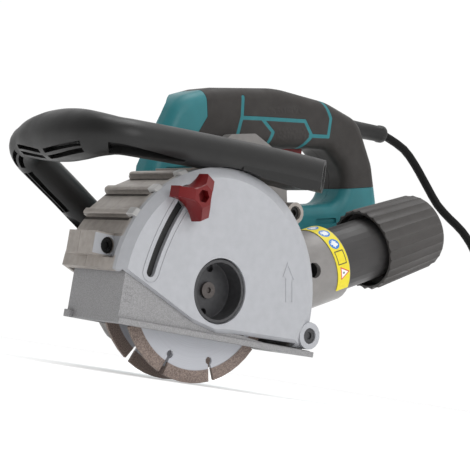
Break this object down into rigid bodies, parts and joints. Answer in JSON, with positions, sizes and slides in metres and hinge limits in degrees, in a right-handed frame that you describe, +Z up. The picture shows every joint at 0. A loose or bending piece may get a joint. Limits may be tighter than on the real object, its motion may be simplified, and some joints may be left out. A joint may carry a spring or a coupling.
{
  "type": "wall chaser",
  "caption": "Twin-blade wall chaser with depth shroud, dust port and D-handle, for cutting cable slots in masonry; its blades, depth shroud, clamp knob, trigger and buttons move.",
  "frame": {"origin": "on the floor under the middle of the tool, its cord left out; the tool stands on the rims of its blades", "axes": "+X to the rear, where the cord leaves; +Y from the blade cover to the motor; +Z up, square to the base plate"},
  "size_m": [0.5261, 0.2771, 0.2326],
  "materials": {
    "cast_aluminium": "satin",
    "raw_casting": "rough, as cast",
    "bright_steel": "machined",
    "black_steel": "black oxide",
    "blade_steel": "satin, ground",
    "teal_plastic": "fine-grained satin",
    "black_plastic": "satin",
    "black_rubber": "matt",
    "red_plastic": "satin",
    "yellow_label": "printed film",
    "copper": "bright",
    "laminated_steel": "lacquered laminations",
    "carbon": "matt"
  },
  "bodies": {
    "main_body": {"bail_handle": "black_plastic", "bail_screw_far": "black_steel", "bail_screw_near": "black_steel", "brush_cap_front": "black_plastic", "brush_cap_rear": "black_plastic", "brush_front": "carbon", "brush_holder_front": "copper", "brush_holder_rear": "copper", "brush_rear": "carbon", "cord_boot": "black_rubber", "cord_coil": "black_rubber", "cord_tail": "black_rubber", "dust_collar": "cast_aluminium", "dust_tube": "black_plastic", "gear_housing": "cast_aluminium", "grip_rubber_far": "black_rubber", "grip_rubber_near": "black_rubber", "guard_back": "cast_aluminium", "guard_cover": "cast_aluminium", "guard_screw_front": "black_steel", "guard_screw_rear": "black_steel", "handle_shell_far": "teal_plastic", "handle_shell_near": "teal_plastic", "label_band": "yellow_label", "motor_bracket": "cast_aluminium", "motor_end_cap": "black_plastic", "motor_housing": "teal_plastic", "pivot_bolt": "black_steel", "plug": "black_rubber", "plug_pin_left": "bright_steel", "plug_pin_right": "bright_steel", "power_cord": "black_rubber", "rotor_bearing_front": "bright_steel", "rotor_bearing_rear": "bright_steel", "spindle_bearing_front": "bright_steel", "spindle_bearing_rear": "bright_steel", "stator": "laminated_steel", "switch_body": "black_plastic"},
    "blade_assembly": {"spindle": "bright_steel", "spindle_screw": "bright_steel", "outer_flange": "black_steel", "front_blade": "blade_steel", "blade_spacer": "bright_steel", "rear_blade": "blade_steel", "inner_flange": "black_steel", "spindle_gear": "bright_steel"},
    "rotor": {"rotor_shaft": "bright_steel", "rotor_core": "laminated_steel", "commutator": "copper", "cooling_fan": "black_plastic", "motor_pinion": "bright_steel"},
    "shroud": {"depth_shroud": "raw_casting", "clamp_stud": "bright_steel", "clamp_washer": "bright_steel"},
    "knob": {"depth_knob": "red_plastic"},
    "trigger": {"trigger": "red_plastic"},
    "lock_off": {"lock_off_button": "black_plastic"},
    "spindle_lock": {"spindle_lock_button": "red_plastic"},
    "adapter": {"dust_adapter": "black_rubber"}
  },
  "joints": [
    {"name": "blade_spin", "type": "hinge", "parent": "main_body", "child": "blade_assembly", "pos_m": [-0.0566, -0.0361, 0.0625], "axis": [0, 1, 0], "continuous": true},
    {"name": "rotor_spin", "type": "hinge", "parent": "main_body", "child": "rotor", "pos_m": [-0.02532, 0.046, 0.09331], "axis": [0, 1, 0], "continuous": true},
    {"name": "depth_setting", "type": "hinge", "parent": "main_body", "child": "shroud", "pos_m": [0.0302, -0.038, 0.0448], "axis": [0, -1, 0], "range_deg": [0, 21]},
    {"name": "knob_turn", "type": "hinge", "parent": "shroud", "child": "knob", "pos_m": [-0.09641, -0.08, 0.1179], "axis": [0, -1, 0], "range_deg": [0, 360]},
    {"name": "trigger_pull", "type": "hinge", "parent": "main_body", "child": "trigger", "pos_m": [0.02653, 0.036, 0.18832], "axis": [0, -1, 0], "range_deg": [0, 6], "stiffness_Nm_per_rad": 0.8, "springref_deg": -5.73},
    {"name": "lock_off_press", "type": "slide", "parent": "main_body", "child": "lock_off", "axis": [0, -1, 0], "range_m": [0, 0.003], "stiffness_N_per_m": 400, "springref_m": -0.001},
    {"name": "spindle_lock_press", "type": "slide", "parent": "main_body", "child": "spindle_lock", "axis": [0.7373, 0, -0.6756], "range_m": [0, 0.003], "stiffness_N_per_m": 500, "springref_m": -0.001},
    {"name": "adapter_turn", "type": "hinge", "parent": "main_body", "child": "adapter", "pos_m": [0.1012, -0.035, 0.1172], "axis": [0.9128, 0, 0.4083], "continuous": true}
  ],
  "couplings": [
    {"joint": "rotor_spin", "follows": "blade_spin", "ratio": -3.6667}
  ]
}
